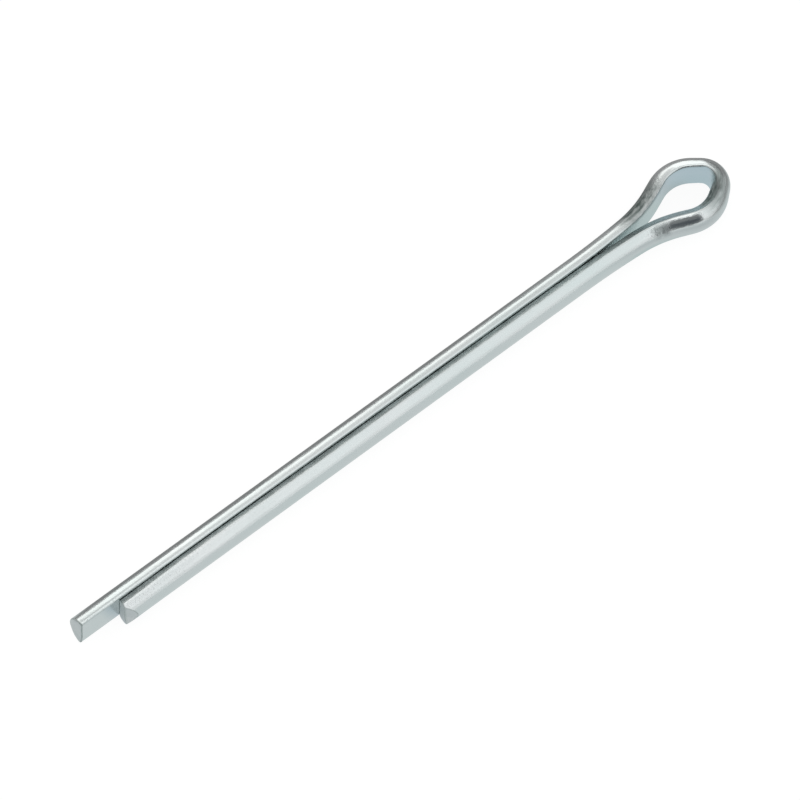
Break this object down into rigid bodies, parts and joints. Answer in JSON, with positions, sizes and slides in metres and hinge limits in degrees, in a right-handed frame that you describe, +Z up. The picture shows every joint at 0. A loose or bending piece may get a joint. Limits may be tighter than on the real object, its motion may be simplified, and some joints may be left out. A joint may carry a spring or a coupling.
{
  "type": "cotter pin",
  "caption": "Split cotter pin: half-round wire folded into an open eye, with two flat-faced legs of unequal length lying together as one round shank.",
  "frame": {"origin": "under the middle of the pin's overall box, on the surface it lies on", "axes": "+X from the leg tips to the eye along the shank, +Y towards the side of the long leg, +Z up, across the level eye"},
  "size_m": [0.063, 0.0062, 0.0028],
  "materials": {
    "zinc_plated_steel": "bright zinc plate with a fine satin grain, on mild steel wire"
  },
  "bodies": {
    "root": {"cotter_pin": "zinc_plated_steel"}
  },
  "joints": []
}
